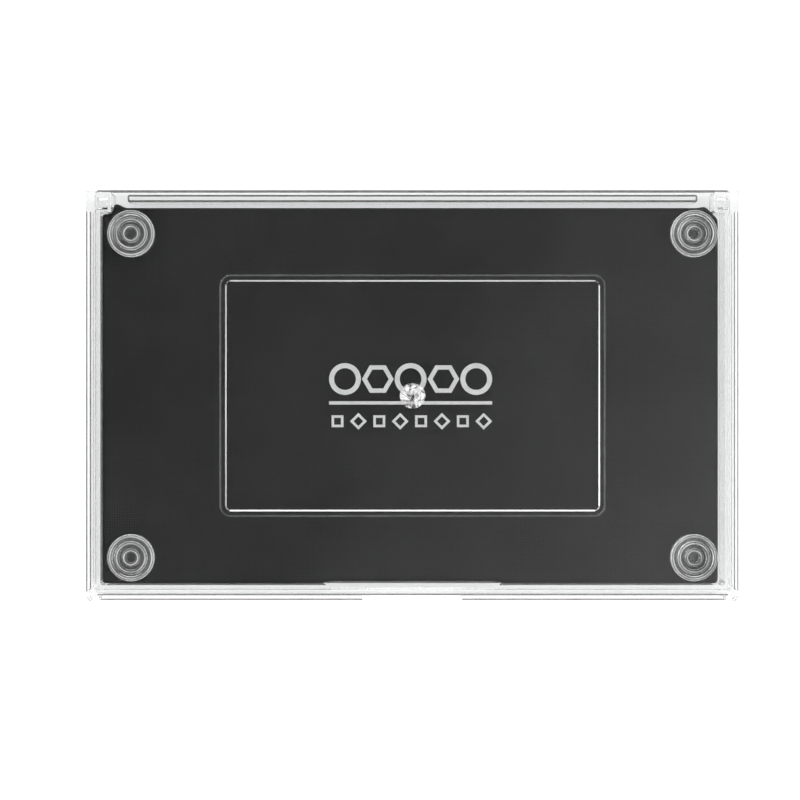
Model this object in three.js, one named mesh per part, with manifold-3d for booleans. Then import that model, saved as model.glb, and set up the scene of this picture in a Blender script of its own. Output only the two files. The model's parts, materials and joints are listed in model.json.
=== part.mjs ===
// A large ink pad in a clear hinged case, shown closed.
// Millimetres. The origin is on the resting surface under the middle of the case, +X runs along the
// case, +Y points to the hinge and +Z points up.

import * as THREE from "three";
import { mergeVertices } from "three/addons/utils/BufferGeometryUtils.js";
import Module from "manifold-3d";

const wasm = await Module();
wasm.setup();

// ---- Driving dimensions ----

// Footprint. The floor plate is the widest part, and the lid stands on its rim. The lid's hinge ears
// and front corners stand a little proud of its sides.
const CASE_LENGTH = 138;
const CASE_DEPTH = 86.4;
const EAR_SPAN = 135.6;
const LID_BACK_INSET = 0.6;
const TOTAL_HEIGHT = 18;
const CORNER_RADIUS = 1.6;
const EDGE_CHAMFER = 0.35;

// Heights above the resting surface.
const FLOOR_BOTTOM = 1.0;
const FLOOR_TOP = 3.0;
const WALL_TOP = 14.9;
const LUG_TOP = 14.5;
const SKIRT_BOTTOM = 3.3;
const PLATE_BOTTOM = 15.3;
const PLATE_TOP = 16.9;

// Wall thicknesses, and how far each wall stands in from the edge of the floor plate.
const SKIRT_SIDE_INSET = 2.1;
const SKIRT_FRONT_INSET = 1.8;
const SKIRT_WALL = 1.05;
const WALL_CLEARANCE = 0.2;
const BASE_WALL = 0.85;
const BACK_WALL_INSET = 1.7;
const BACK_WALL = 1.2;

// Front corners of the skirt, thickened outwards.
const CORNER_BLOCK_OUT = 0.7;
const CORNER_BLOCK_FRONT = 1.3;
const CORNER_BLOCK_LENGTH = 2.7;
const CORNER_BLOCK_CORNER = 0.9;
const CORNER_BLOCK_BOTTOM = 3.5;
const CORNER_BLOCK_TOP = 16.4;

// Hinge: pins on the lid's ears turn in blind bores of the base's lugs.
const HINGE_INSET = 2.6;
const HINGE_Z = 9.5;
const PIN_RADIUS = 1.2;
const PIN_REACH = 2.1;
const BORE_RADIUS = 1.27;
const BORE_DEPTH = 2.1;
const EAR_DEPTH = 4.5;
const EAR_SWEEP_RADIUS = 6.0;
const LUG_LENGTH = 3.1;
const LUG_BACK_INSET = 0.3;
const RELIEF_SLOT = 3.35;
const RAMP_WIDTH = 2.6;
const RAMP_DEPTH = 0.9;
const RAMP_BOTTOM = 11.5;

// Raised panel in the middle of the lid, hollow underneath so that its wall is as thick as the plate,
// and the gate mark of each moulding.
const PANEL_LENGTH = 80;
const PANEL_WIDTH = 50.2;
const PANEL_CORNER = 2.4;
const PANEL_DRAFT = 0.25;
const PANEL_RISE = 0.6;
const RECESS_LENGTH = 77.5;
const RECESS_WIDTH = 47.6;
const RECESS_CORNER = 1.3;
const RECESS_DRAFT = 0.5;
const GATE_DISH_RADIUS = 2.65;
const GATE_DISH_DEPTH = 0.3;
const GATE_STUB_RADIUS = 0.85;

// Front edge: a thumb notch in the floor plate, and the catch zone set back behind the lid's bead.
const NOTCH_LENGTH = 21;
const NOTCH_DEPTH = 1.25;
const NOTCH_CORNER = 0.8;
const CATCH_LENGTH = 34.4;
const CATCH_SETBACK = 0.4;
const BEAD_LENGTH = 33;
const BEAD_RADIUS = 0.35;
const BEAD_Z = 9;

// Ring discs: the feet under the base, and the same discs on the lid.
const FOOT_SPACING_X = 116.6;
const FOOT_SPACING_Y = 67.1;
const FOOT_HEIGHT = 1.25;
const FOOT_WEB = 0.75;
const RING_RADII = [4.3, 2.9, 1.4];
const RING_TOP_HALF = 0.28;
const RING_FOOT_HALF = 0.55;
const FOOT_SIDES = 28;
const SEAT_RADIUS = 5.15;

// Ink pad: tape, backing plate, sponge and cloth, from the floor upwards. It is stuck down against the
// left wall, so the play that it has in the tray is all on the right.
const FIT_GAP = 0.3;
const PAD_LENGTH = 128;
const PAD_DEPTH = 78;
const PAD_TOP = 13.4;
const PAD_CORNER = 0.4;
const CLOTH_SHOULDER = 1.1;
const CLOTH_CORNER = 1.3;
const CLOTH_WALL = 0.6;
const TAPE_THICKNESS = 0.4;
const TAPE_WIDTH = 18;
const TAPE_LENGTH = 62;
const TAPE_X = 44;
const BACKING_THICKNESS = 1.8;

// The folded corners of the cloth beside the hinge lugs: how far each stands back past the pad's edge,
// and its flat and sloping lengths. The right one is folded smaller, with its corner cut across.
const LEFT_TUCK = { reach: 0.9, flat: 1.1, slope: 1.3 };
const RIGHT_TUCK = { reach: 0.4, flat: 0.3, slope: 0.8 };
const RIGHT_CORNER_CUT = 2.3;

// Joined solids run this far into each other, and cuts run this far past a face.
const LAP = 0.4;
const ARC_SEGMENTS = 5;
const ROUND_SIDES = 32;
const MERGE_TOLERANCE = 1e-4;

// ---- Places worked out from them ----

const HALF_X = CASE_LENGTH / 2;
const BACK_Y = CASE_DEPTH / 2;
const FRONT_Y = -BACK_Y;
const LID_BACK_Y = BACK_Y - LID_BACK_INSET;
const SKIRT_X = HALF_X - SKIRT_SIDE_INSET;
const SKIRT_FRONT_Y = FRONT_Y + SKIRT_FRONT_INSET;
const SKIRT_INNER_X = SKIRT_X - SKIRT_WALL;
const SKIRT_INNER_Y = SKIRT_FRONT_Y + SKIRT_WALL;
const WALL_X = SKIRT_INNER_X - WALL_CLEARANCE;
const WALL_FRONT_Y = SKIRT_INNER_Y + WALL_CLEARANCE;
const CAVITY_X = WALL_X - BASE_WALL;
const CAVITY_FRONT_Y = WALL_FRONT_Y + BASE_WALL;
const EAR_FRONT_Y = LID_BACK_Y - EAR_DEPTH;
const HINGE_Y = LID_BACK_Y - HINGE_INSET;
const LUG_INNER_X = WALL_X - LUG_LENGTH;
const BACK_WALL_X = LUG_INNER_X - RELIEF_SLOT;
const PANEL_TOP = PLATE_TOP + PANEL_RISE;
const LID_SEAT_Z = TOTAL_HEIGHT - FOOT_HEIGHT - FIT_GAP;
const BASE_SEAT_Z = FOOT_HEIGHT + FIT_GAP;
const TAPE_BOTTOM = FLOOR_TOP + FIT_GAP;
const BACKING_BOTTOM = TAPE_BOTTOM + TAPE_THICKNESS + FIT_GAP;
const SPONGE_BOTTOM = BACKING_BOTTOM + BACKING_THICKNESS + FIT_GAP;
const CLOTH_CEILING = PAD_TOP - CLOTH_WALL;
const SPONGE_TOP = CLOTH_CEILING - FIT_GAP;
const PAD_LEFT_X = -CAVITY_X + FIT_GAP;
const PAD_RIGHT_X = PAD_LEFT_X + PAD_LENGTH;
const PAD_FRONT_Y = CAVITY_FRONT_Y + FIT_GAP;
const PAD_BACK_Y = PAD_FRONT_Y + PAD_DEPTH;

// ---- Finishes ----

function finish(color, roughness, opacity = 1) {
  return new THREE.MeshStandardMaterial({
    color,
    roughness,
    metalness: 0,
    opacity,
    transparent: opacity < 1,
  });
}

const CLEAR_PLASTIC = finish(0xf1f5f6, 0.05, 0.25);
const SOFT_CLEAR = finish(0xd9dcdc, 0.25, 0.5);
const INKED_CLOTH = finish(0x242426, 0.85);
const SPONGE = finish(0x1b1b1d, 0.95);
const BACKING = finish(0x17181a, 0.45);
const TAPE = finish(0xe9e6da, 0.7);

// ---- Solids ----

// A closed geometry as a solid that can be joined and cut.
function solid(geometry) {
  const bare = geometry.index ? geometry.toNonIndexed() : geometry.clone();
  bare.deleteAttribute("normal");
  bare.deleteAttribute("uv");
  const merged = mergeVertices(bare, MERGE_TOLERANCE);
  const mesh = new wasm.Mesh({
    numProp: 3,
    vertProperties: merged.attributes.position.array,
    triVerts: new Uint32Array(merged.index.array),
  });
  return new wasm.Manifold(mesh);
}

function join(...solids) {
  return solids.reduce((whole, next) => whole.add(next));
}

function cut(body, ...tools) {
  return tools.reduce((rest, tool) => rest.subtract(tool), body);
}

function namedMesh(name, body, material) {
  const { vertProperties, triVerts } = body.getMesh();
  const geometry = new THREE.BufferGeometry();
  geometry.setAttribute("position", new THREE.BufferAttribute(vertProperties, 3));
  geometry.setIndex(new THREE.BufferAttribute(triVerts, 1));
  geometry.computeVertexNormals();
  const mesh = new THREE.Mesh(geometry, material);
  mesh.name = name;
  return mesh;
}

function box([x0, y0, z0], [x1, y1, z1]) {
  const geometry = new THREE.BoxGeometry(x1 - x0, y1 - y0, z1 - z0);
  geometry.translate((x0 + x1) / 2, (y0 + y1) / 2, (z0 + z1) / 2);
  return solid(geometry);
}

// An upright round solid.
function disc(x, y, radius, z0, z1) {
  const geometry = new THREE.CylinderGeometry(radius, radius, z1 - z0, ROUND_SIDES);
  geometry.rotateX(Math.PI / 2);
  geometry.translate(x, y, (z0 + z1) / 2);
  return solid(geometry);
}

// A round solid along the hinge axis.
function hingeRod(radius, x0, x1) {
  const geometry = new THREE.CylinderGeometry(radius, radius, Math.abs(x1 - x0), ROUND_SIDES);
  geometry.rotateZ(Math.PI / 2);
  geometry.translate((x0 + x1) / 2, HINGE_Y, HINGE_Z);
  return solid(geometry);
}

function roundedRect(x0, y0, x1, y1, radius) {
  const shape = new THREE.Shape();
  shape.absarc(x1 - radius, y0 + radius, radius, -Math.PI / 2, 0);
  shape.absarc(x1 - radius, y1 - radius, radius, 0, Math.PI / 2);
  shape.absarc(x0 + radius, y1 - radius, radius, Math.PI / 2, Math.PI);
  shape.absarc(x0 + radius, y0 + radius, radius, Math.PI, 1.5 * Math.PI);
  return shape;
}

function prism(shape, z0, z1) {
  const settings = { depth: z1 - z0, bevelEnabled: false, curveSegments: ARC_SEGMENTS };
  const geometry = new THREE.ExtrudeGeometry(shape, settings);
  geometry.translate(0, 0, z0);
  return solid(geometry);
}

// A prism whose outline is drawn in by the chamfer at its top and its bottom.
function chamferedPrism(shape, z0, z1, chamfer) {
  const settings = {
    depth: z1 - z0 - 2 * chamfer,
    bevelThickness: chamfer,
    bevelSize: chamfer,
    bevelOffset: -chamfer,
    bevelSegments: 1,
    curveSegments: ARC_SEGMENTS,
  };
  const geometry = new THREE.ExtrudeGeometry(shape, settings);
  geometry.translate(0, 0, z0 + chamfer);
  return solid(geometry);
}

// An outline in the YZ plane, drawn out from x0 to x1.
function bar(shape, x0, x1) {
  const settings = { depth: x1 - x0, bevelEnabled: false, curveSegments: ARC_SEGMENTS };
  const geometry = new THREE.ExtrudeGeometry(shape, settings);
  const turn = new THREE.Matrix4().makeBasis(
    new THREE.Vector3(0, 1, 0),
    new THREE.Vector3(0, 0, 1),
    new THREE.Vector3(1, 0, 0),
  );
  geometry.applyMatrix4(turn);
  geometry.translate(x0, 0, 0);
  return solid(geometry);
}

// The two ends of a span that lies from inner to outer on one side of the case, left one first.
function span(side, inner, outer) {
  return side < 0 ? [-outer, -inner] : [inner, outer];
}

// ---- Case ----

// The four places of the ring discs, with the words that name them.
function footPlaces() {
  const places = [];
  for (const [end, y] of [["front", -FOOT_SPACING_Y / 2], ["back", FOOT_SPACING_Y / 2]]) {
    for (const [side, x] of [["left", -FOOT_SPACING_X / 2], ["right", FOOT_SPACING_X / 2]]) {
      places.push({ words: `${end}_${side}`, x, y });
    }
  }
  return places;
}

// Side and front walls in one, between two heights, with square ends at the back.
function threeSidedWall(outerX, outerY, innerX, innerY, backY, z0, z1) {
  const pastBack = backY + 2 * CORNER_RADIUS;
  const block = prism(roundedRect(-outerX, outerY, outerX, pastBack, CORNER_RADIUS), z0, z1);
  const hollow = box([-innerX, innerY, z0 - LAP], [innerX, pastBack + LAP, z1 + LAP]);
  const rear = box([-outerX - LAP, backY, z0 - LAP], [outerX + LAP, pastBack + LAP, z1 + LAP]);
  return cut(block, hollow, rear);
}

// A hinge lug: a corner post with a blind bore, and a ramp down which the pin snaps in.
function hingeLug(side) {
  const [x0, x1] = span(side, LUG_INNER_X, WALL_X);
  const back = LID_BACK_Y - LUG_BACK_INSET;
  const post = box([x0, EAR_FRONT_Y, FLOOR_TOP - LAP], [x1, back, LUG_TOP]);
  const bore = hingeRod(BORE_RADIUS, side * (WALL_X + LAP), side * (WALL_X - BORE_DEPTH));
  const ramp = new THREE.Shape([
    new THREE.Vector2(side * (WALL_X + LAP), LUG_TOP + LAP),
    new THREE.Vector2(side * (WALL_X - RAMP_DEPTH), LUG_TOP + LAP),
    new THREE.Vector2(side * (WALL_X - RAMP_DEPTH), LUG_TOP),
    new THREE.Vector2(side * WALL_X, RAMP_BOTTOM),
    new THREE.Vector2(side * (WALL_X + LAP), RAMP_BOTTOM),
  ]);
  const geometry = new THREE.ExtrudeGeometry(ramp, { depth: RAMP_WIDTH, bevelEnabled: false });
  geometry.rotateX(Math.PI / 2);
  geometry.translate(0, HINGE_Y + RAMP_WIDTH / 2, 0);
  return cut(post, bore, solid(geometry));
}

function makeBaseTray() {
  const outline = roundedRect(-HALF_X, FRONT_Y, HALF_X, BACK_Y, CORNER_RADIUS);
  const floor = chamferedPrism(outline, FLOOR_BOTTOM, FLOOR_TOP, EDGE_CHAMFER);
  const walls = threeSidedWall(
    WALL_X, WALL_FRONT_Y, CAVITY_X, CAVITY_FRONT_Y, EAR_FRONT_Y + LAP, FLOOR_TOP - LAP, WALL_TOP,
  );
  const backOuterY = BACK_Y - BACK_WALL_INSET;
  const backWall = box(
    [-BACK_WALL_X, backOuterY - BACK_WALL, FLOOR_TOP - LAP],
    [BACK_WALL_X, backOuterY, WALL_TOP],
  );
  const catchX = CATCH_LENGTH / 2;
  const catchBack = box(
    [-catchX - BASE_WALL, CAVITY_FRONT_Y - LAP, FLOOR_TOP - LAP],
    [catchX + BASE_WALL, CAVITY_FRONT_Y + CATCH_SETBACK, WALL_TOP],
  );
  const catchFront = box(
    [-catchX, WALL_FRONT_Y - LAP, FLOOR_TOP],
    [catchX, WALL_FRONT_Y + CATCH_SETBACK, WALL_TOP + LAP],
  );
  const notchX = NOTCH_LENGTH / 2;
  const notchShape = roundedRect(-notchX, FRONT_Y - NOTCH_DEPTH, notchX, FRONT_Y + NOTCH_DEPTH, NOTCH_CORNER);
  const notch = prism(notchShape, FLOOR_BOTTOM - LAP, FLOOR_TOP + LAP);
  const seats = footPlaces().map(({ x, y }) => disc(x, y, SEAT_RADIUS, FLOOR_BOTTOM - LAP, BASE_SEAT_Z));
  const dish = disc(0, 0, GATE_DISH_RADIUS, FLOOR_BOTTOM - LAP, FLOOR_BOTTOM + GATE_DISH_DEPTH);
  const stub = disc(0, 0, GATE_STUB_RADIUS, FLOOR_BOTTOM, FLOOR_BOTTOM + GATE_DISH_DEPTH + LAP);
  const shell = join(floor, walls, backWall, catchBack, hingeLug(-1), hingeLug(1));
  return join(cut(shell, catchFront, notch, dish, ...seats), stub);
}

// A hinge ear: the back end of the lid's side, thicker than the skirt, with its pin pointing inwards.
// Its lower back corner follows an arc about the hinge axis, so that it clears the floor plate.
function hingeEar(side) {
  const [x0, x1] = span(side, SKIRT_INNER_X, EAR_SPAN / 2);
  const bottom = HINGE_Z - EAR_SWEEP_RADIUS;
  const turn = Math.asin(HINGE_INSET / EAR_SWEEP_RADIUS);
  const profile = new THREE.Shape();
  profile.moveTo(EAR_FRONT_Y, PLATE_TOP);
  profile.lineTo(EAR_FRONT_Y, bottom);
  profile.absarc(HINGE_Y, HINGE_Z, EAR_SWEEP_RADIUS, -Math.PI / 2, turn - Math.PI / 2);
  profile.lineTo(LID_BACK_Y, PLATE_TOP);
  const pin = hingeRod(PIN_RADIUS, side * (SKIRT_INNER_X + LAP), side * (SKIRT_INNER_X - PIN_REACH));
  return join(bar(profile, x0, x1), pin);
}

// A rounded rectangle about the origin with a sloping edge: it is as long and wide as stated at z0, and
// draws in by the draft at z1. Below z0 it goes straight down for the lap.
function draftedPanel(length, width, corner, draft, z0, z1) {
  const inner = roundedRect(-length / 2 + draft, -width / 2 + draft, length / 2 - draft, width / 2 - draft, corner);
  const settings = {
    depth: LAP,
    bevelThickness: z1 - z0,
    bevelSize: draft,
    bevelSegments: 1,
    curveSegments: ARC_SEGMENTS,
  };
  const geometry = new THREE.ExtrudeGeometry(inner, settings);
  geometry.translate(0, 0, z0 - LAP);
  const half = box([-length, -width, z0 - LAP], [length, width, z1 + LAP]);
  return solid(geometry).intersect(half);
}

// A front corner of the skirt, thickened outwards.
function cornerBlock(side) {
  const reach = SKIRT_X + CORNER_BLOCK_OUT;
  const front = SKIRT_FRONT_Y - CORNER_BLOCK_FRONT;
  const [x0, x1] = span(side, reach - CORNER_BLOCK_LENGTH, reach);
  const outline = roundedRect(x0, front, x1, front + CORNER_BLOCK_LENGTH, CORNER_BLOCK_CORNER);
  const block = prism(outline, CORNER_BLOCK_BOTTOM, CORNER_BLOCK_TOP);
  return cut(block, box([-SKIRT_INNER_X, SKIRT_INNER_Y, 0], [SKIRT_INNER_X, 0, PLATE_BOTTOM]));
}

function makeLid() {
  const outline = roundedRect(-SKIRT_X, SKIRT_FRONT_Y, SKIRT_X, LID_BACK_Y, CORNER_RADIUS);
  const cap = chamferedPrism(outline, PLATE_BOTTOM - LAP, PLATE_TOP, EDGE_CHAMFER);
  const plate = cut(cap, box([-HALF_X, FRONT_Y, 0], [HALF_X, BACK_Y + LAP, PLATE_BOTTOM]));
  const skirt = threeSidedWall(
    SKIRT_X, SKIRT_FRONT_Y, SKIRT_INNER_X, SKIRT_INNER_Y, EAR_FRONT_Y + LAP, SKIRT_BOTTOM, PLATE_BOTTOM + LAP,
  );
  const beadShape = new THREE.Shape().absarc(SKIRT_INNER_Y, BEAD_Z, BEAD_RADIUS, 0, 2 * Math.PI);
  const bead = bar(beadShape, -BEAD_LENGTH / 2, BEAD_LENGTH / 2);
  const seats = footPlaces().map(({ x, y }) => disc(x, y, SEAT_RADIUS, LID_SEAT_Z, PLATE_TOP + LAP));
  const dish = disc(0, 0, GATE_DISH_RADIUS, PANEL_TOP - GATE_DISH_DEPTH, PANEL_TOP + LAP);
  const stub = disc(0, 0, GATE_STUB_RADIUS, PANEL_TOP - GATE_DISH_DEPTH - LAP, PANEL_TOP);
  const panel = draftedPanel(PANEL_LENGTH, PANEL_WIDTH, PANEL_CORNER, PANEL_DRAFT, PLATE_TOP, PANEL_TOP);
  const recess = draftedPanel(
    RECESS_LENGTH + RECESS_DRAFT, RECESS_WIDTH + RECESS_DRAFT, RECESS_CORNER, RECESS_DRAFT,
    PLATE_BOTTOM, PLATE_BOTTOM + PANEL_RISE,
  );
  const corners = join(cornerBlock(-1), cornerBlock(1));
  const shell = join(plate, skirt, panel, corners, bead, hingeEar(-1), hingeEar(1));
  return join(cut(shell, recess, dish, ...seats), stub);
}

// A round disc with concentric rings on its upper face, standing on z = 0.
function makeRingDisc() {
  const points = [new THREE.Vector2(0, 0), new THREE.Vector2(RING_RADII[0] + RING_FOOT_HALF, 0)];
  for (const radius of RING_RADII) {
    points.push(
      new THREE.Vector2(radius + RING_FOOT_HALF, FOOT_WEB),
      new THREE.Vector2(radius + RING_TOP_HALF, FOOT_HEIGHT),
      new THREE.Vector2(radius - RING_TOP_HALF, FOOT_HEIGHT),
      new THREE.Vector2(radius - RING_FOOT_HALF, FOOT_WEB),
    );
  }
  points.push(new THREE.Vector2(0, FOOT_WEB));
  const geometry = new THREE.LatheGeometry(points, FOOT_SIDES);
  geometry.rotateX(Math.PI / 2);
  return solid(geometry);
}

function addRingDiscs(group) {
  const ringDisc = makeRingDisc();
  for (const { words, x, y } of footPlaces()) {
    const onLid = namedMesh(`lid_foot_${words}`, ringDisc, SOFT_CLEAR);
    onLid.position.set(x, y, TOTAL_HEIGHT - FOOT_HEIGHT);
    const underBase = namedMesh(`base_foot_${words}`, ringDisc, SOFT_CLEAR);
    underBase.position.set(x, y, FOOT_HEIGHT);
    underBase.rotation.x = Math.PI;
    group.add(onLid, underBase);
  }
}

// ---- Ink pad ----

// The pad's outline, drawn in by inset. Its back corners step in to clear the hinge lugs, with the
// cloth's tucks beside them, and its front edge steps in behind the catch.
function padShape(inset, tucks) {
  const left = PAD_LEFT_X + inset;
  const right = PAD_RIGHT_X - inset;
  const lugX = LUG_INNER_X - FIT_GAP - inset;
  const lugY = EAR_FRONT_Y - FIT_GAP - inset;
  const back = PAD_BACK_Y - inset;
  const front = PAD_FRONT_Y + inset;
  const catchX = CATCH_LENGTH / 2 + BASE_WALL + FIT_GAP + inset;
  const cutX = right - RIGHT_CORNER_CUT;
  const tuck = (side, x, { reach, flat, slope }) => [
    [side * x, back + reach],
    [side * (x - flat), back + reach],
    [side * (x - flat - slope), back],
  ];
  const rightTuck = tuck(1, cutX - RIGHT_TUCK.reach, RIGHT_TUCK);
  const rightEnd = [[right, back - RIGHT_CORNER_CUT], ...(tucks ? rightTuck : [[cutX, back]])];
  const leftEnd = [[left, lugY], [-lugX, lugY], ...(tucks ? tuck(-1, lugX, LEFT_TUCK) : [[-lugX, back]])];
  const points = [
    [-catchX, front],
    [-catchX, front + CATCH_SETBACK],
    [catchX, front + CATCH_SETBACK],
    [catchX, front],
    [right - PAD_CORNER, front],
    [right, front + PAD_CORNER],
    ...rightEnd,
    ...leftEnd.reverse(),
    [left, front + PAD_CORNER],
    [left + PAD_CORNER, front],
  ];
  return new THREE.Shape(points.map(([x, y]) => new THREE.Vector2(x, y)));
}

// The cloth: a cap over the sponge and the backing plate, open underneath, with a sloping shoulder.
function makeClothCover() {
  const shoulderZ = PAD_TOP - CLOTH_SHOULDER;
  const block = roundedRect(PAD_LEFT_X, PAD_FRONT_Y, PAD_RIGHT_X, PAD_BACK_Y, CLOTH_CORNER);
  const crown = chamferedPrism(block, BACKING_BOTTOM, PAD_TOP, CLOTH_SHOULDER);
  const trim = prism(padShape(0, false), shoulderZ - LAP, PAD_TOP + LAP);
  const sides = prism(padShape(0, true), BACKING_BOTTOM, shoulderZ);
  const hollow = prism(padShape(CLOTH_WALL, false), BACKING_BOTTOM - LAP, CLOTH_CEILING);
  return cut(join(crown.intersect(trim), sides), hollow);
}

function addInkPad(group) {
  const inside = padShape(CLOTH_WALL + FIT_GAP, false);
  const sponge = chamferedPrism(inside, SPONGE_BOTTOM, SPONGE_TOP, EDGE_CHAMFER);
  const plate = prism(inside, BACKING_BOTTOM, BACKING_BOTTOM + BACKING_THICKNESS);
  group.add(namedMesh("pad_cloth_cover", makeClothCover(), INKED_CLOTH));
  group.add(namedMesh("pad_sponge_core", sponge, SPONGE));
  group.add(namedMesh("pad_backing_plate", plate, BACKING));
  for (const [words, x] of [["left", -TAPE_X], ["right", TAPE_X]]) {
    const strip = box(
      [x - TAPE_WIDTH / 2, -TAPE_LENGTH / 2, TAPE_BOTTOM],
      [x + TAPE_WIDTH / 2, TAPE_LENGTH / 2, TAPE_BOTTOM + TAPE_THICKNESS],
    );
    group.add(namedMesh(`pad_tape_${words}`, strip, TAPE));
  }
}

// ---- The whole ink pad ----

const inkPad = new THREE.Group();
inkPad.add(namedMesh("base_tray", makeBaseTray(), CLEAR_PLASTIC));
inkPad.add(namedMesh("lid", makeLid(), CLEAR_PLASTIC));
addRingDiscs(inkPad);
addInkPad(inkPad);

export default inkPad;
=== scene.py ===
"""The looks of a large ink pad in a clear hinged case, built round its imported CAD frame."""
import json
import math

import bmesh
import bpy
from mathutils import Matrix, Vector, noise


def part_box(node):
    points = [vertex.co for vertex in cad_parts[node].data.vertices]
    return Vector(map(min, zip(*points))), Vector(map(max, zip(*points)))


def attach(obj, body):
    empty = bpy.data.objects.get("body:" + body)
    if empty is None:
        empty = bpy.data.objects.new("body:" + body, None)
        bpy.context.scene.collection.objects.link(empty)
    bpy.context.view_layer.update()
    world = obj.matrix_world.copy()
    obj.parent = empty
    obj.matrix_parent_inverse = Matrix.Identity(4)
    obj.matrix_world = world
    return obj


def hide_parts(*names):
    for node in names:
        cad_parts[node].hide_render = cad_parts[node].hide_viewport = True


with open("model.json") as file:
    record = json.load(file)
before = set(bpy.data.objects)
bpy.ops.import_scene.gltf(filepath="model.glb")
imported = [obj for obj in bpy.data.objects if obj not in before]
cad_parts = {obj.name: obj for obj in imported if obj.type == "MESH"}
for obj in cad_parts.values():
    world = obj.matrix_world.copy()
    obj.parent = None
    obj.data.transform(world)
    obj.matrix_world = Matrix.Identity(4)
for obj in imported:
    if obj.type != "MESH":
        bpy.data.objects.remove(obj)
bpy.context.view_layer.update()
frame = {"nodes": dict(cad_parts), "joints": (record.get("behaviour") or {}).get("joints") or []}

# Meshes are made in millimetres and scaled to the frame's metres when they are finished.
MM = 0.001
BASE = "base_body"
LID = "lid_body"


def mm_box(node):
    """A CAD node's lowest and highest corners, in millimetres."""
    low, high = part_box(node)
    return low / MM, high / MM


# ---- Sizes, from the frame and from the CAD model's wall thicknesses ----

base_low, base_high = mm_box("base_tray")
lid_low, lid_high = mm_box("lid")
pad_low, pad_high = mm_box("pad_cloth_cover")
_, backing_high = mm_box("pad_backing_plate")
sponge_low, sponge_high = mm_box("pad_sponge_core")

HALF_X = base_high.x
BACK_Y = base_high.y
FRONT_Y = base_low.y
FLOOR_BOTTOM = base_low.z
FLOOR_TOP = FLOOR_BOTTOM + 2.0
WALL_TOP = base_high.z
CORNER = 1.6

LID_BACK_Y = lid_high.y
SKIRT_WALL = 1.05
WALL_CLEARANCE = 0.2
BASE_WALL = 0.85
BLOCK_LENGTH = 2.7
BLOCK_CORNER = 0.9
BLOCK_OUT = 0.7
BLOCK_FRONT = 1.3
BLOCK_BOTTOM = 3.5
BLOCK_TOP = 16.4
SKIRT_FRONT_Y = lid_low.y + BLOCK_FRONT
SKIRT_X = HALF_X - 2.1
SKIRT_INNER_X = SKIRT_X - SKIRT_WALL
SKIRT_INNER_Y = SKIRT_FRONT_Y + SKIRT_WALL
SKIRT_BOTTOM = lid_low.z
WALL_X = SKIRT_INNER_X - WALL_CLEARANCE
WALL_FRONT_Y = SKIRT_INNER_Y + WALL_CLEARANCE
CAVITY_FRONT_Y = WALL_FRONT_Y + BASE_WALL

PANEL_RISE = 0.6
PANEL_TOP = lid_high.z
PLATE_TOP = PANEL_TOP - PANEL_RISE
PLATE_BOTTOM = PLATE_TOP - 1.6
PANEL_HALF_X = 40.0
PANEL_HALF_Y = 25.1
PANEL_CORNER = 2.4
PANEL_EDGE = 0.45
RECESS_INSET = 1.28
RECESS_DRAFT = 0.32
RECESS_TOP = PLATE_BOTTOM + PANEL_RISE

HINGE = Vector(frame["joints"][0]["pos_m"]) / MM
PIN_RADIUS = 1.2
PIN_REACH = 2.1
BORE_RADIUS = 1.27
EAR_FRONT_Y = LID_BACK_Y - 4.5
EAR_SWEEP = 6.0
LUG_INNER_X = WALL_X - 3.1
LUG_TOP = WALL_TOP - 0.4
LUG_SETBACK = 0.3
LUG_CORNER = 0.4
BACK_WALL_X = LUG_INNER_X - 3.35
BACK_WALL_Y = BACK_Y - 1.45
BACK_WALL = 1.6

NOTCH_HALF_LENGTH = 10.5
NOTCH_DEPTH = 1.25
NOTCH_CORNER = 0.8
BEAD_HALF_LENGTH = 16.5
BEAD_RADIUS = 0.35
BEAD_Z = 9

# Radii of the rounded edges, and how far joined solids reach into each other.
LID_EDGE = 0.3
SKIRT_EDGE = 0.12
WALL_EDGE = 0.12
FLOOR_EDGE = 0.35
FLOOR_UNDER_EDGE = 0.15
BACK_WALL_EDGE = 0.45
BACK_WALL_CORNER = 0.5
LUG_EDGE = 0.2
BLOCK_EDGE = 0.2
LAP = 0.4

GATE_RADIUS = 2.65
GATE_DEPTH = 0.3
SEAT_RADIUS = 5.15
SEAT_DEPTH = 0.3
RIDGE_RISE = 0.5
RING_RADII = (4.35, 2.95, 1.45)
CATCH_X = 17.2
CATCH_SETBACK = 0.4

FOOT_WORDS = [f"{end}_{side}" for end in ("front", "back") for side in ("left", "right")]


# ---- Materials ----


def new_material(name):
    """A node material, with its nodes, its links and its Principled shader."""
    material = bpy.data.materials.new(name)
    material.use_nodes = True
    tree = material.node_tree
    shader = next(n for n in tree.nodes if n.type == "BSDF_PRINCIPLED")
    return material, tree, shader


def texture(tree, kind, **settings):
    """A texture node that reads object coordinates."""
    node = tree.nodes.new(kind)
    for key, value in settings.items():
        if key in node.inputs:
            node.inputs[key].default_value = value
        else:
            setattr(node, key, value)
    place = tree.nodes.new("ShaderNodeTexCoord")
    tree.links.new(place.outputs["Object"], node.inputs["Vector"])
    return node


def ramp(tree, source, stops):
    """Colours or greys for a texture's values, as (position, colour) stops."""
    node = tree.nodes.new("ShaderNodeValToRGB")
    elements = node.color_ramp.elements
    for element, (position, colour) in zip(elements, stops):
        element.position = position
        element.color = colour
    for position, colour in stops[2:]:
        elements.new(position).color = colour
    tree.links.new(source, node.inputs["Fac"])
    return node.outputs["Color"]


def grey(value):
    return (value, value, value, 1)


def bump(tree, shader, height, strength, distance):
    node = tree.nodes.new("ShaderNodeBump")
    node.inputs["Strength"].default_value = strength
    node.inputs["Distance"].default_value = distance
    tree.links.new(height, node.inputs["Height"])
    tree.links.new(node.outputs["Normal"], shader.inputs["Normal"])


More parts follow.
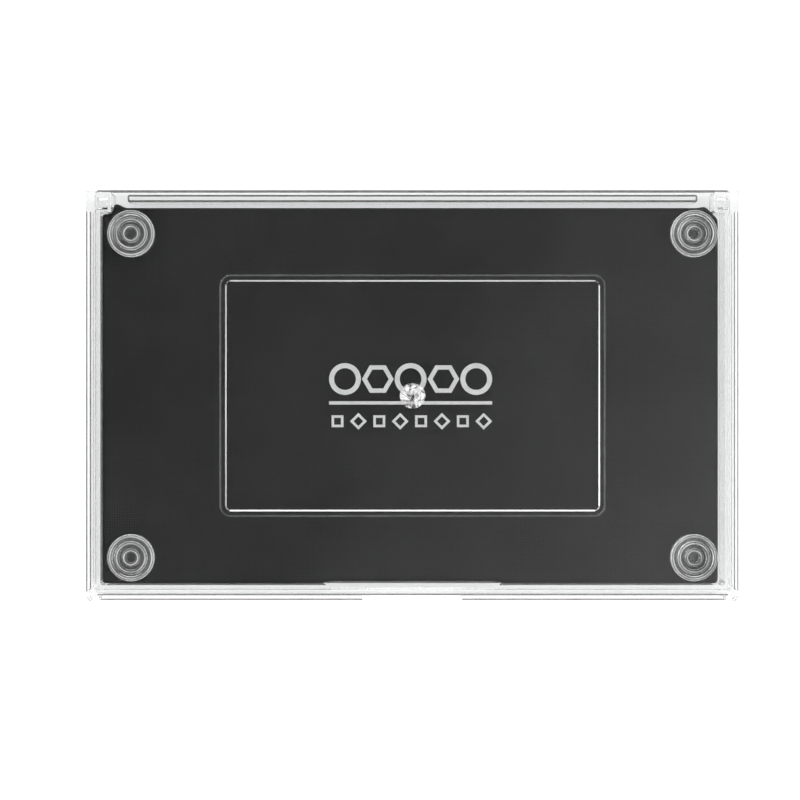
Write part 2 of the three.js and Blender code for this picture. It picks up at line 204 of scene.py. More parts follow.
def clear_plastic():
    """Polished clear polystyrene, with faint handling marks in its gloss."""
    material, tree, shader = new_material("clear_plastic")
    shader.inputs["Base Color"].default_value = (0.985, 0.99, 0.99, 1)
    shader.inputs["IOR"].default_value = 1.59
    shader.inputs["Transmission Weight"].default_value = 1
    marks = texture(tree, "ShaderNodeTexNoise", Scale=220, Detail=6, Roughness=0.6)
    gloss = ramp(tree, marks.outputs["Fac"], [(0.45, grey(0.012)), (0.8, grey(0.06))])
    tree.links.new(gloss, shader.inputs["Roughness"])
    return material


def painted_dark_edge():
    """The same plastic on its rounded edges, tinted dark as painted shade for the dark lines that refraction
    of dark surroundings gives at the edges.
    """
    material, tree, shader = new_material("painted_dark_edge")
    # Painted shade: a near-black transmission tint, varying at random between 0.015 and 0.05, makes the
    # edges show as dark lines.
    edge_shade_noise = texture(tree, "ShaderNodeTexNoise", Scale=400, Detail=5, Roughness=0.6)
    painted_edge_shade = ramp(tree, edge_shade_noise.outputs["Fac"], [(0.3, grey(0.015)), (0.75, grey(0.05))])
    tree.links.new(painted_edge_shade, shader.inputs["Base Color"])
    shader.inputs["IOR"].default_value = 1.59
    shader.inputs["Transmission Weight"].default_value = 1
    shader.inputs["Roughness"].default_value = 0.08
    return material


def gate_scar():
    """Clear plastic torn at the gate: whitish where it broke, and clear between."""
    material, tree, shader = new_material("gate_scar")
    tear = texture(tree, "ShaderNodeTexNoise", Scale=700, Detail=4, Roughness=0.6, Distortion=1.5)
    shader.inputs["Base Color"].default_value = (0.9, 0.9, 0.9, 1)
    clear = ramp(tree, tear.outputs["Fac"], [(0.42, grey(1.0)), (0.6, grey(0.15))])
    tree.links.new(clear, shader.inputs["Transmission Weight"])
    shader.inputs["IOR"].default_value = 1.59
    shader.inputs["Roughness"].default_value = 0.25
    bump(tree, shader, tear.outputs["Fac"], 0.6, 0.0003)
    return material


def painted_crest_highlight():
    """Soft clear plastic on the ridge tops, made partly whitish and diffuse as a painted highlight, so that
    the rings show as bright lines.
    """
    material, tree, shader = new_material("painted_crest_highlight")
    crest_highlight_noise = texture(tree, "ShaderNodeTexNoise", Scale=260, Detail=5, Roughness=0.6)
    shader.inputs["Base Color"].default_value = (0.93, 0.93, 0.93, 1)
    clear = ramp(tree, crest_highlight_noise.outputs["Fac"], [(0.35, grey(0.5)), (0.65, grey(0.9))])
    tree.links.new(clear, shader.inputs["Transmission Weight"])
    shader.inputs["IOR"].default_value = 1.5
    shader.inputs["Roughness"].default_value = 0.3
    return material


def soft_clear():
    """Soft clear plastic, a little cloudy."""
    material, tree, shader = new_material("soft_clear")
    shader.inputs["Base Color"].default_value = (0.96, 0.97, 0.97, 1)
    shader.inputs["IOR"].default_value = 1.5
    shader.inputs["Transmission Weight"].default_value = 1
    cloud = texture(tree, "ShaderNodeTexNoise", Scale=900, Detail=4)
    gloss = ramp(tree, cloud.outputs["Fac"], [(0.3, grey(0.18)), (0.8, grey(0.3))])
    tree.links.new(gloss, shader.inputs["Roughness"])
    return material


def inked_cloth():
    """Plain-woven cloth soaked in black ink."""
    material, tree, shader = new_material("inked_cloth")
    shader.inputs["Sheen Weight"].default_value = 0.06
    shader.inputs["Sheen Roughness"].default_value = 0.5
    threads = []
    for direction in ("X", "Y"):
        wave = texture(
            tree, "ShaderNodeTexWave", bands_direction=direction, Scale=900, Distortion=0.6, Detail=1.5,
        )
        threads.append(wave.outputs["Fac"])
    weave = tree.nodes.new("ShaderNodeMath")
    weave.operation = "MAXIMUM"
    for socket, thread in zip(weave.inputs, threads):
        tree.links.new(thread, socket)
    wetness = texture(tree, "ShaderNodeTexNoise", Scale=45, Detail=5, Roughness=0.55)
    colour = ramp(
        tree, wetness.outputs["Fac"], [(0.3, (0.006, 0.006, 0.0065, 1)), (0.75, (0.01, 0.01, 0.0105, 1))],
    )
    tree.links.new(colour, shader.inputs["Base Color"])
    damp = ramp(tree, wetness.outputs["Fac"], [(0.35, grey(0.62)), (0.7, grey(0.85))])
    tree.links.new(damp, shader.inputs["Roughness"])
    bump(tree, shader, weave.outputs["Value"], 0.25, 0.00012)
    return material


def inked_sponge():
    """Fine open-cell sponge, black with ink."""
    material, tree, shader = new_material("inked_sponge")
    cells = texture(tree, "ShaderNodeTexVoronoi", Scale=1400)
    colour = ramp(tree, cells.outputs["Distance"], [(0.1, grey(0.004)), (0.7, grey(0.016))])
    tree.links.new(colour, shader.inputs["Base Color"])
    shader.inputs["Roughness"].default_value = 0.9
    bump(tree, shader, cells.outputs["Distance"], 0.7, 0.0003)
    return material


def black_plastic():
    """Moulded black plastic with a fine grain."""
    material, tree, shader = new_material("black_plastic")
    grain = texture(tree, "ShaderNodeTexNoise", Scale=1800, Detail=3)
    colour = ramp(tree, grain.outputs["Fac"], [(0.3, grey(0.010)), (0.7, grey(0.017))])
    tree.links.new(colour, shader.inputs["Base Color"])
    shader.inputs["Roughness"].default_value = 0.45
    bump(tree, shader, grain.outputs["Fac"], 0.2, 0.00005)
    return material


def paper_tape():
    """Double-sided paper tape, with its fibres."""
    material, tree, shader = new_material("paper_tape")
    fibres = texture(tree, "ShaderNodeTexNoise", Scale=600, Detail=8, Roughness=0.7)
    colour = ramp(
        tree, fibres.outputs["Fac"], [(0.3, (0.70, 0.67, 0.58, 1)), (0.7, (0.86, 0.84, 0.77, 1))],
    )
    tree.links.new(colour, shader.inputs["Base Color"])
    shader.inputs["Roughness"].default_value = 0.75
    bump(tree, shader, fibres.outputs["Fac"], 0.3, 0.00005)
    return material


def print_ink():
    """Light grey printing ink, slightly uneven where the screen left it thin."""
    material, tree, shader = new_material("print_ink")
    film = texture(tree, "ShaderNodeTexNoise", Scale=900, Detail=6, Roughness=0.65)
    colour = ramp(tree, film.outputs["Fac"], [(0.25, grey(0.8)), (0.6, grey(0.93))])
    tree.links.new(colour, shader.inputs["Base Color"])
    shader.inputs["Roughness"].default_value = 0.55
    return material


def pale_floor():
    """A plain pale table top."""
    material, tree, shader = new_material("pale_floor")
    paper = texture(tree, "ShaderNodeTexNoise", Scale=60, Detail=4)
    colour = ramp(tree, paper.outputs["Fac"], [(0.3, grey(0.93)), (0.7, grey(0.95))])
    tree.links.new(colour, shader.inputs["Base Color"])
    shader.inputs["Roughness"].default_value = 0.9
    shader.inputs["Emission Color"].default_value = (1, 1, 1, 1)
    shader.inputs["Emission Strength"].default_value = 0.6
    return material


CLEAR = clear_plastic()
PAINTED_DARK_EDGE = painted_dark_edge()
SCAR = gate_scar()
PAINTED_CREST_HIGHLIGHT = painted_crest_highlight()
SOFT = soft_clear()
CLOTH = inked_cloth()
SPONGE = inked_sponge()
BLACK = black_plastic()
TAPE = paper_tape()
INK = print_ink()


# ---- Meshes ----


def rounded_outline(x0, y0, x1, y1, radius, steps=10):
    """A rectangle with round corners, anticlockwise."""
    centres = [
        (x1 - radius, y0 + radius), (x1 - radius, y1 - radius),
        (x0 + radius, y1 - radius), (x0 + radius, y0 + radius),
    ]
    points = []
    for quarter, (cx, cy) in enumerate(centres):
        for step in range(steps + 1):
            angle = math.pi / 2 * (quarter - 1 + step / steps)
            points.append((cx + radius * math.cos(angle), cy + radius * math.sin(angle)))
    return points


def arc(centre, radius, start, end, steps):
    """Points on an arc, by angles in radians."""
    angles = [start + (end - start) * i / steps for i in range(steps + 1)]
    return [(centre[0] + radius * math.cos(a), centre[1] + radius * math.sin(a)) for a in angles]


def loft(layers):
    """A closed mesh through layers of 3-D points with as many points each, capped at both ends."""
    bm = bmesh.new()
    rings = [[bm.verts.new(point) for point in layer] for layer in layers]
    count = len(rings[0])
    for low, high in zip(rings, rings[1:]):
        for i in range(count):
            j = (i + 1) % count
            bm.faces.new((low[i], low[j], high[j], high[i]))
    bm.faces.new(list(reversed(rings[0])))
    bm.faces.new(rings[-1])
    return bm


def prism(outline, z0, z1):
    """An upright solid over an outline."""
    return loft([[(x, y, z) for x, y in outline] for z in (z0, z1)])


def bar(outline, x0, x1):
    """A solid along X over an outline of (y, z) points."""
    return loft([[(x, y, z) for y, z in outline] for x in (x0, x1)])


def block(low, high):
    """A block between two corners."""
    x0, y0, z0 = low
    x1, y1, z1 = high
    return prism([(x0, y0), (x1, y0), (x1, y1), (x0, y1)], z0, z1)


def lathe(profile, x=0, y=0, steps=64):
    """A round solid from (radius, z) points that start and end on the axis."""
    bm = bmesh.new()
    columns = []
    for i in range(steps):
        angle = math.tau * i / steps
        columns.append([
            bm.verts.new((x + r * math.cos(angle), y + r * math.sin(angle), z)) for r, z in profile[1:-1]
        ])
    foot = bm.verts.new((x, y, profile[0][1]))
    head = bm.verts.new((x, y, profile[-1][1]))
    for i in range(steps):
        here, there = columns[i], columns[(i + 1) % steps]
        bm.faces.new((foot, there[0], here[0]))
        bm.faces.new((head, here[-1], there[-1]))
        for k in range(len(here) - 1):
            bm.faces.new((here[k], there[k], there[k + 1], here[k + 1]))
    return bm


def cylinder(x, y, radius, z0, z1, steps=64):
    return lathe([(0, z0), (radius, z0), (radius, z1), (0, z1)], x, y, steps)


def hinge_rod(radius, x0, x1, steps=40):
    """A round solid on the hinge axis."""
    return bar(arc((HINGE.y, HINGE.z), radius, 0, math.tau, steps)[:-1], min(x0, x1), max(x0, x1))


def plain_object(bm, name):
    """An object with a mesh's shape, whatever its units."""
    bmesh.ops.recalc_face_normals(bm, faces=bm.faces)
    mesh = bpy.data.meshes.new(name)
    bm.to_mesh(mesh)
    bm.free()
    made = bpy.data.objects.new(name, mesh)
    bpy.context.scene.collection.objects.link(made)
    return made


def taken(obj):
    """An object's shape, for use in another; the object itself goes."""
    bm = bmesh.new()
    bm.from_mesh(obj.data)
    bpy.data.objects.remove(obj)
    return bm


def applied(obj):
    """The object's mesh with its modifiers applied, in place of the one it had."""
    depsgraph = bpy.context.evaluated_depsgraph_get()
    mesh = bpy.data.meshes.new_from_object(obj.evaluated_get(depsgraph), depsgraph=depsgraph)
    obj.modifiers.clear()
    obj.data = mesh
    return obj


def carve(name, adds, cuts):
    """One solid in millimetres: the adds joined, and the cuts taken away."""
    body = plain_object(adds[0], name)
    tools = []
    for operation, shapes in (("UNION", adds[1:]), ("DIFFERENCE", cuts)):
        for shape in shapes:
            tool = plain_object(shape, "tool")
            step = body.modifiers.new("step", "BOOLEAN")
            step.operation = operation
            step.solver = "EXACT"
            step.object = tool
            tools.append(tool)
    applied(body)
    for tool in tools:
        bpy.data.objects.remove(tool)
    bm = bmesh.new()
    bm.from_mesh(body.data)
    bmesh.ops.remove_doubles(bm, verts=bm.verts, dist=0.002)
    bmesh.ops.dissolve_limit(bm, angle_limit=math.radians(0.5), verts=bm.verts, edges=bm.edges)
    bm.to_mesh(body.data)
    bm.free()
    return body


def soft_prism(outline_at, z0, z1, low, high):
    """An upright solid with round bottom and top edges, over an outline that is a function of inset."""
    steps = 4
    sides = []
    for radius, z, way in ((low, z0, 1), (high, z1, -1)):
        turns = [math.pi / 2 * i / steps for i in range(steps + 1)] if radius else [math.pi / 2]
        for turn in turns[::way]:
            rise = radius * (1 - math.cos(turn)) if radius else 0
            sides.append((radius * (1 - math.sin(turn)), z + way * rise))
    return loft([[(x, y, z) for x, y in outline_at(inset)] for inset, z in sides])


def soft_block(low, high, corner, foot, head):
    """A block with round upright edges of radius corner, and edges of foot and head below and on top."""
    def outline_at(inset):
        radius = max(0.02, corner - inset)
        return rounded_outline(low[0] + inset, low[1] + inset, high[0] - inset, high[1] - inset, radius, 8)
    return soft_prism(outline_at, low[2], high[2], foot, head)


def on_painted_dark_edge(point):
    """Whether a curved face is on the lid's upper edge, the floor plate's edge or the back wall's top, where
    the edge colour is darkened as painted shade.
    """
    if abs(point.x) < PANEL_HALF_X + 1 and abs(point.y) < PANEL_HALF_Y + 1:
        return False
    on_plates = point.z > PLATE_BOTTOM or point.z < FLOOR_TOP
    return (on_plates or point.y > PAD_BACK) and not at_corner(point)


def dress_edges(body):
    """Smooth shading for the curved faces, a dark edge material as painted shade on the edges, and its own
    material for the gate mark.
    """
    for material in (CLEAR, PAINTED_DARK_EDGE, SCAR):
        body.data.materials.append(material)
    body.data.set_sharp_from_angle(angle=math.radians(28))
    for polygon in body.data.polygons:
        middle = polygon.center
        straight = max(abs(part) for part in polygon.normal) > 0.9999
        polygon.use_smooth = not straight
        in_dish = math.hypot(middle.x, middle.y) < GATE_RADIUS and middle.z > RECESS_TOP + 0.1
        if in_dish and polygon.area < 8:
            polygon.material_index = 2
        # Oblique faces on these edges get the darkened clear plastic, as painted shade for their dark lines.
        elif 0.1 < abs(polygon.normal.z) < 0.99 and on_painted_dark_edge(middle):
            polygon.material_index = 1
    return body


def finish_piece(piece, material, body, slot, *nodes):
    """Scales a piece to metres, gives it its material, and lets it stand for its CAD nodes."""
    piece.data.transform(Matrix.Scale(MM, 4))
    if not piece.data.materials:
        piece.data.materials.append(material)
    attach(piece, body)
    if nodes:
        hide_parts(*nodes)
    return piece


# ---- The case ----


def foot_places():
    """The words and the middle of each ring disc's place, in millimetres."""
    places = []
    for words in FOOT_WORDS:
        low, high = mm_box("lid_foot_" + words)
        places.append((words, (low.x + high.x) / 2, (low.y + high.y) / 2))
    return places


PLACES = foot_places()


def three_sided_wall(outer_x, outer_y, thickness, back_y, z0, z1, low, high):
    """Side and front walls in one, with round corners outside and in."""
    def outline_at(inset):
        radius = CORNER - inset
        hollow = 0.5 + inset
        x = outer_x - inset
        y = outer_y + inset
        inner_x = outer_x - thickness + inset
        inner_y = outer_y + thickness - inset
        outer = arc((x - radius, y + radius), radius, -math.pi / 2, 0, 10)
        inner = arc((inner_x - hollow, inner_y + hollow), hollow, -math.pi / 2, 0, 8)
        right = outer + [(x, back_y), (inner_x, back_y)] + inner[::-1]
        left = [(-px, py) for px, py in right]
        return right + left[::-1]
    return soft_prism(outline_at, z0, z1, low, high)


def gate_dish(z_face, up):
    """The shallow dish round a moulding's gate, as a solid to cut away. up is 1 on a top face."""
    steps = 8
    profile = [(0, z_face - up * GATE_DEPTH)]
    for i in range(1, steps + 1):
        r = GATE_RADIUS * i / steps
        profile.append((r, z_face - up * GATE_DEPTH * math.cos(math.pi / 2 * (i / steps) ** 3)))
    profile += [(GATE_RADIUS, z_face + up * LAP), (0, z_face + up * LAP)]
    return lathe(profile if up > 0 else profile[::-1])


def panel_layer(inset, z):
    """The panel's outline drawn in by inset, at height z."""
    x = PANEL_HALF_X - inset
    y = PANEL_HALF_Y - inset
    return [(px, py, z) for px, py in rounded_outline(-x, -y, x, y, max(0.9, PANEL_CORNER - inset))]


def raised_panel():
    """What stands up from the lid's plate, with a round upper edge."""
    layers = [panel_layer(0, PLATE_TOP - LAP)]
    steps = 7
    for i in range(steps + 1):
        turn = math.pi / 2 * i / steps
        inset = PANEL_EDGE * (1 - math.cos(turn))
        layers.append(panel_layer(inset, PANEL_TOP - PANEL_EDGE * (1 - math.sin(turn))))
    return loft(layers)


def panel_recess():
    """What is hollowed out under the raised panel, so that the wall stays as thick as the plate."""
    low = RECESS_INSET - RECESS_DRAFT / 2
    high = RECESS_INSET + RECESS_DRAFT / 2
    below = low - RECESS_DRAFT * LAP / PANEL_RISE
    heights = ((below, PLATE_BOTTOM - LAP), (low, PLATE_BOTTOM), (high, RECESS_TOP))
    return loft([panel_layer(inset, z) for inset, z in heights])


def corner_block(side):
    """A front corner of the skirt, thickened outwards."""
    reach = SKIRT_X + BLOCK_OUT
    front = SKIRT_FRONT_Y - BLOCK_FRONT
    x0, x1 = sorted((side * (reach - BLOCK_LENGTH), side * reach))
    low = (x0, front, BLOCK_BOTTOM)
    high = (x1, front + BLOCK_LENGTH, BLOCK_TOP)
    return soft_block(low, high, BLOCK_CORNER, BLOCK_EDGE, BLOCK_EDGE)


def hinge_ear(side):
    """The back end of the lid's side, with its lower corner on an arc about the hinge."""
    turn = math.asin((LID_BACK_Y - HINGE.y) / EAR_SWEEP)
    sweep = arc((HINGE.y, HINGE.z), EAR_SWEEP, -math.pi / 2, turn - math.pi / 2, 8)
    outline = [(EAR_FRONT_Y, PLATE_TOP), (EAR_FRONT_Y, HINGE.z - EAR_SWEEP), *sweep, (LID_BACK_Y, PLATE_TOP)]
    ends = sorted((side * SKIRT_INNER_X, side * lid_high.x))
    return bar(outline, *ends)


def at_corner(point):
    """Whether a point lies in a hinge ear, a hinge lug or a front corner block."""
    if abs(point.x) < LUG_INNER_X - 0.5:
        return False
    return point.y > EAR_FRONT_Y - 0.5 or point.y < SKIRT_FRONT_Y + 1.2


def make_lid():
    """The lid, with its plate, skirt, panel, corner blocks, hinge ears and pins, and disc seats."""
    bead = arc((SKIRT_INNER_Y, BEAD_Z), BEAD_RADIUS, 0, math.tau, 12)[:-1]
    adds = [
        soft_block(
            (-SKIRT_X, SKIRT_FRONT_Y, PLATE_BOTTOM), (SKIRT_X, LID_BACK_Y, PLATE_TOP),
            CORNER, 0, LID_EDGE,
        ),
        three_sided_wall(
            SKIRT_X, SKIRT_FRONT_Y, SKIRT_WALL, EAR_FRONT_Y + LAP,
            SKIRT_BOTTOM, PLATE_BOTTOM + LAP, SKIRT_EDGE, 0,
        ),
        raised_panel(),
        bar(bead, -BEAD_HALF_LENGTH, BEAD_HALF_LENGTH),
    ]
    for side in (-1, 1):
        adds.append(hinge_ear(side))
        adds.append(hinge_rod(PIN_RADIUS, side * (SKIRT_INNER_X + LAP), side * (SKIRT_INNER_X - PIN_REACH)))
    seat_z = mm_box("lid_foot_front_left")[0].z - SEAT_DEPTH
    cuts = [cylinder(x, y, SEAT_RADIUS, seat_z, PLATE_TOP + LAP) for _, x, y in PLACES]
    cuts += [gate_dish(PANEL_TOP, 1), panel_recess()]
    inside = block((-SKIRT_INNER_X, SKIRT_INNER_Y, 0), (SKIRT_INNER_X, 0, PLATE_BOTTOM))
    corners = carve("corners", [corner_block(-1), corner_block(1)], [inside])
    adds.append(taken(corners))
    lid = dress_edges(carve("lid_shell", adds, cuts))
    return finish_piece(lid, CLEAR, LID, "clear_plastic", "lid")


def make_base():
    """The base, with its floor plate, walls, catch step, thumb notch, hinge lugs and disc seats."""
    back_edge = BACK_WALL_Y - BACK_WALL
    notch = rounded_outline(
        -NOTCH_HALF_LENGTH, FRONT_Y - NOTCH_DEPTH, NOTCH_HALF_LENGTH, FRONT_Y + NOTCH_DEPTH, NOTCH_CORNER,
    )
    adds = [
        soft_block(
            (-HALF_X, FRONT_Y, FLOOR_BOTTOM), (HALF_X, BACK_Y, FLOOR_TOP),
            CORNER, FLOOR_UNDER_EDGE, FLOOR_EDGE,
        ),
        three_sided_wall(
            WALL_X, WALL_FRONT_Y, BASE_WALL, EAR_FRONT_Y + LAP,
            FLOOR_TOP - LAP, WALL_TOP, 0, WALL_EDGE,
        ),
        soft_block(
            (-BACK_WALL_X, back_edge, FLOOR_TOP - LAP), (BACK_WALL_X, BACK_WALL_Y, WALL_TOP),
            BACK_WALL_CORNER, 0, BACK_WALL_EDGE,
        ),
        block(
            (-CATCH_X - BASE_WALL, CAVITY_FRONT_Y - LAP, FLOOR_TOP - LAP),
            (CATCH_X + BASE_WALL, CAVITY_FRONT_Y + CATCH_SETBACK, WALL_TOP),
        ),
    ]
    cuts = [
        block(
            (-CATCH_X, WALL_FRONT_Y - LAP, FLOOR_TOP),
            (CATCH_X, WALL_FRONT_Y + CATCH_SETBACK, WALL_TOP + LAP),
        ),
        prism(notch, 0, FLOOR_TOP + LAP),
        gate_dish(FLOOR_BOTTOM, -1),
    ]
    for side in (-1, 1):
        x0, x1 = sorted((side * LUG_INNER_X, side * WALL_X))
        low = (x0, EAR_FRONT_Y, FLOOR_TOP - LAP)
        high = (x1, LID_BACK_Y - LUG_SETBACK, LUG_TOP)
        adds.append(soft_block(low, high, LUG_CORNER, 0, LUG_EDGE))
        cuts.append(hinge_rod(BORE_RADIUS, side * (WALL_X + LAP), side * (WALL_X - PIN_REACH)))
    seat_z = mm_box("base_foot_front_left")[1].z + SEAT_DEPTH
    cuts += [cylinder(x, y, SEAT_RADIUS, FLOOR_BOTTOM - LAP, seat_z) for _, x, y in PLACES]
    base = dress_edges(carve("base_shell", adds, cuts))
    return finish_piece(base, CLEAR, BASE, "clear_plastic", "base_tray")


def ring_disc_profile(height):
    """(radius, z) points of a disc with three round rings on top, standing on z = 0."""
    web = height - RIDGE_RISE
    ridge = 0.5
    rim = RING_RADII[0] + ridge
    profile = [(0, 0), (rim - 0.1, 0), (rim, 0.1), (rim, web)]
    for radius in RING_RADII:
        for i in range(13):
            angle = math.pi * i / 12
            profile.append((radius + ridge * math.cos(angle), web + RIDGE_RISE * math.sin(angle)))
    profile += [(0.45, web), (0, web - 0.1)]
    return profile


def make_ring_discs():
    """Four discs on the lid, rings up, and four under the base, rings down."""
    for words, x, y in PLACES:
        for prefix, body in (("lid_foot_", LID), ("base_foot_", BASE)):
            low, high = mm_box(prefix + words)
            on_lid = prefix == "lid_foot_"
            height = high.z - low.z + 0.28
            disc = plain_object(lathe(ring_disc_profile(height), steps=96), "ring_" + prefix + words)
            disc.data.materials.append(SOFT)
            disc.data.materials.append(PAINTED_CREST_HIGHLIGHT)
            crest = height - RIDGE_RISE * 0.08
            for polygon in disc.data.polygons:
                polygon.use_smooth = True
                # Painted highlight: the ridge crests take the whitish material so that the rings read
                # bright.
                if polygon.center.z > crest:
                    polygon.material_index = 1
            disc.data.set_sharp_from_angle(angle=math.radians(50))
            if on_lid:
                disc.data.transform(Matrix.Translation((x, y, high.z - height)))
            else:
                disc.data.transform(Matrix.Rotation(math.pi, 4, "X"))
                disc.data.transform(Matrix.Translation((x, y, low.z + height)))
            finish_piece(disc, SOFT, body, "soft_clear", prefix + words)


# ---- The ink pad ----

FIT = 0.3
PAD_LEFT = pad_low.x
PAD_RIGHT = pad_high.x
PAD_FRONT = pad_low.y
LEFT_TUCK = {"reach": 0.9, "flat": 1.1, "slope": 1.3}
RIGHT_TUCK = {"reach": 0.4, "flat": 0.3, "slope": 0.8}
RIGHT_CUT = 2.3
PAD_CORNER = 0.4
PAD_BACK = pad_high.y - LEFT_TUCK["reach"]


def tuck(side, x, back, shape):
    """The points of one folded corner of the cloth, beside a hinge lug."""
    top = back + shape["reach"]
    flat = x - shape["flat"]
    return [(side * x, top), (side * flat, top), (side * (flat - shape["slope"]), back)]


def pad_outline(inset, tucks):
    """The pad seen from above, drawn in by inset, with its cut back corners and the tucks beside them."""
    left = PAD_LEFT + inset
    right = PAD_RIGHT - inset
    lug_x = LUG_INNER_X - FIT - inset
    lug_y = EAR_FRONT_Y - FIT - inset
    front = PAD_FRONT + inset
    back = PAD_BACK - inset
    catch_x = CATCH_X + BASE_WALL + FIT + inset
    cut_x = right - RIGHT_CUT
    right_end = [(cut_x, back)]
    left_end = [(-lug_x, back)]
    if tucks:
        right_end = tuck(1, cut_x - RIGHT_TUCK["reach"], back, RIGHT_TUCK)
        left_end = tuck(-1, lug_x, back, LEFT_TUCK)
    return [
        (-catch_x, front), (-catch_x, front + CATCH_SETBACK), (catch_x, front + CATCH_SETBACK),
        (catch_x, front), (right - PAD_CORNER, front), (right, front + PAD_CORNER),
        (right, back - RIGHT_CUT), *right_end,
        *reversed(left_end), (-lug_x, lug_y), (left, lug_y),
        (left, front + PAD_CORNER), (left + PAD_CORNER, front),
    ]


def crowned(point, rise):
    """How far the pad's top stands up at a point, from its rise in the middle."""
    across = 1 - abs(point.x / PAD_RIGHT) ** 3
    along = 1 - abs(point.y / PAD_FRONT) ** 3
    return rise * max(0, across) * max(0, along)


def voxel_form(outline, z0, z1, voxel, smoothing, name):
    """A prism remeshed evenly, with softened edges."""
    form = plain_object(prism(outline, z0, z1), name)
    remesh = form.modifiers.new("voxels", "REMESH")
    remesh.mode = "VOXEL"
    remesh.voxel_size = voxel
    smooth = form.modifiers.new("smooth", "SMOOTH")
    smooth.factor = 0.5
    smooth.iterations = smoothing
    return applied(form)


CLOTH_FOLD = 8


def make_cloth():
    """The cloth, over the sponge's top and sides and folded under the backing plate."""
    thickness = 0.28
    cloth = voxel_form(pad_outline(-0.1, True), pad_low.z - 0.2, pad_high.z - 0.25, 0.5, 5, "pad_cloth")
    bm = bmesh.new()
    bm.from_mesh(cloth.data)
    middle_z = (pad_low.z + pad_high.z) / 2
    gone = []
    for face in bm.faces:
        centre = face.calc_center_median()
        inside = abs(centre.x) < PAD_RIGHT - CLOTH_FOLD and abs(centre.y) < -PAD_FRONT - CLOTH_FOLD
        if centre.z < middle_z and face.normal.z < -0.7 and inside:
            gone.append(face)
    bmesh.ops.delete(bm, geom=gone, context="FACES")
    for vertex in bm.verts:
        if vertex.co.z > middle_z:
            ripple = 0.05 * noise.noise(vertex.co * 0.09)
            vertex.co.z += crowned(vertex.co, 0.25) + ripple
    bm.to_mesh(cloth.data)
    bm.free()
    solid = cloth.modifiers.new("thickness", "SOLIDIFY")
    solid.thickness = thickness
    solid.offset = -1
    applied(cloth)
    for polygon in cloth.data.polygons:
        polygon.use_smooth = True
    finish_piece(cloth, CLOTH, BASE, "inked_cloth", "pad_cloth_cover")


def make_sponge():
    sponge = voxel_form(
        pad_outline(0.9, False), backing_high.z + 0.05, sponge_high.z - 0.1, 1.0, 2, "pad_sponge",
    )
    for vertex in sponge.data.vertices:
        if vertex.co.z > sponge_low.z + 1:
            vertex.co.z += crowned(vertex.co, 0.2)
    for polygon in sponge.data.polygons:
        polygon.use_smooth = True
    finish_piece(sponge, SPONGE, BASE, "sponge", "pad_sponge_core")


def dress_cad_nodes():
    """Materials for the CAD nodes that stay."""
    for node, material in (("pad_backing_plate", BLACK), ("pad_tape_left", TAPE), ("pad_tape_right", TAPE)):
        obj = frame["nodes"][node]
        for slot in obj.material_slots:
            slot.material = material


# ---- The print: a plain mark of two rows of outline shapes and a rule ----


def ring_shape(cx, cy, outer, inner, sides, turn=0):
    """A regular outline shape as quads: many sides make a ring, and few a polygon."""
    quads = []
    for i in range(sides):
        a = turn + math.tau * i / sides
        b = turn + math.tau * (i + 1) / sides
        quads.append([
            (cx + outer * math.cos(a), cy + outer * math.sin(a)),
            (cx + outer * math.cos(b), cy + outer * math.sin(b)),
            (cx + inner * math.cos(b), cy + inner * math.sin(b)),
            (cx + inner * math.cos(a), cy + inner * math.sin(a)),
        ])
    return quads


def dash(x0, y0, x1, y1):
    """A straight bar as one quad."""
    return [[(x0, y0), (x1, y0), (x1, y1), (x0, y1)]]


def make_print():
    """The mark, a thin film on the underside of the lid's panel."""
    half = 16.9
    middle = -0.4
    rule_low = -1.85
    rule_high = -1.15
    quads = dash(middle - half, rule_low, middle + half, rule_high)
    big = 3.3
    big_line = 1.05
    big_row = 3.45
    big_count = 5
    for i in range(big_count):
        x = middle - half + big + 2 * (half - big) * i / (big_count - 1)
        sides = 6 if i % 2 else 48
        quads += ring_shape(x, big_row, big, big - big_line, sides)
    small = 1.75
    small_line = 0.75
    small_row = -5.3
    small_count = 8
    for i in range(small_count):
        x = middle - half + small + 2 * (half - small) * i / (small_count - 1)
        turn = 0 if i % 2 else math.pi / 4
        quads += ring_shape(x, small_row, small, small - small_line, 4, turn)
    bm = bmesh.new()
    film = 0.03
    z1 = RECESS_TOP - 0.01
    z0 = z1 - film
    for quad in quads:
        low = [bm.verts.new((x, y, z0)) for x, y in quad]
        high = [bm.verts.new((x, y, z1)) for x, y in quad]
        bm.faces.new(low[::-1])
        bm.faces.new(high)
        for i in range(4):
            j = (i + 1) % 4
            bm.faces.new((low[i], low[j], high[j], high[i]))
    mark = plain_object(bm, "lid_print")
    return finish_piece(mark, INK, LID, "print_ink")


# ---- The studio ----


def make_floor():
    """A plain floor, wide enough for every view."""
    bm = bmesh.new()
    bmesh.ops.create_grid(bm, x_segments=2, y_segments=2, size=3)
    floor = plain_object(bm, "floor")
    floor.data.materials.append(pale_floor())


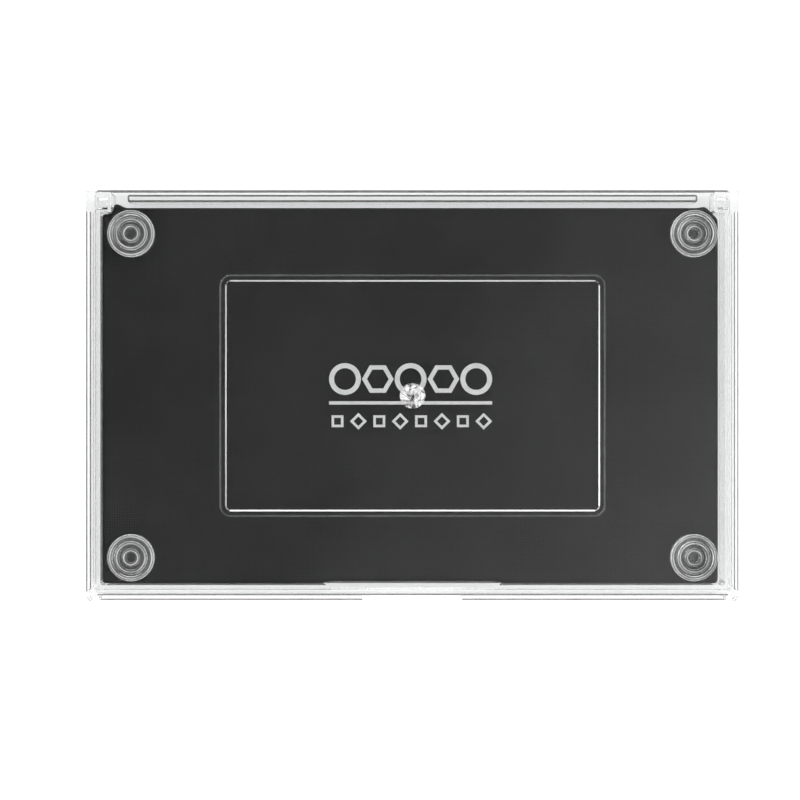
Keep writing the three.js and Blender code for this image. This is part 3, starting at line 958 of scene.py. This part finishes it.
def make_world():
    """A studio that is dim low down and overhead, with light from all round and a soft box on the right."""
    world = bpy.data.worlds.new("studio")
    bpy.context.scene.world = world
    world.use_nodes = True
    tree = world.node_tree
    background = tree.nodes["Background"]
    place = tree.nodes.new("ShaderNodeTexCoord")
    split = tree.nodes.new("ShaderNodeSeparateXYZ")
    tree.links.new(place.outputs["Generated"], split.inputs["Vector"])
    around = ramp(
        tree, split.outputs["Z"],
        [(0.0, grey(0.36)), (0.3, grey(0.26)), (0.55, grey(0.75)), (0.86, grey(0.75)), (0.955, grey(0.025))],
    )
    aim = tree.nodes.new("ShaderNodeVectorMath")
    aim.operation = "DOT_PRODUCT"
    aim.inputs[1].default_value = Vector((0.45, -0.3, 0.84)).normalized()
    tree.links.new(place.outputs["Generated"], aim.inputs[0])
    box = ramp(
        tree, aim.outputs["Value"],
        [(0.79, grey(0.0)), (0.84, grey(0.03)), (0.88, grey(0.13)), (0.93, grey(0.4)), (0.97, grey(1.0))],
    )
    total = tree.nodes.new("ShaderNodeMix")
    total.data_type = "RGBA"
    total.blend_type = "ADD"
    total.clamp_result = False
    total.inputs["Factor"].default_value = 1
    tree.links.new(around, total.inputs["A"])
    tree.links.new(box, total.inputs["B"])
    tree.links.new(total.outputs["Result"], background.inputs["Color"])
    background.inputs["Strength"].default_value = 2.2


def make_camera():
    """Looks straight down from 0.7 m, with a long lens."""
    data = bpy.data.cameras.new("camera")
    camera = bpy.data.objects.new("camera", data)
    bpy.context.scene.collection.objects.link(camera)
    bpy.context.scene.camera = camera
    height = 0.70
    frame_width = 0.1698
    data.sensor_width = 36
    data.lens = data.sensor_width * height / frame_width
    camera.location = (-0.0026, -0.0009, height)
    camera.rotation_euler = (0, 0, 0)


make_lid()
make_base()
make_ring_discs()
make_sponge()
make_cloth()
dress_cad_nodes()
make_print()
make_floor()
make_world()
make_camera()

view = bpy.context.scene.view_settings
view.view_transform = "Standard"
cycles = bpy.context.scene.cycles
cycles.use_denoising = True
cycles.max_bounces = 32
cycles.glossy_bounces = 32
cycles.transmission_bounces = 32
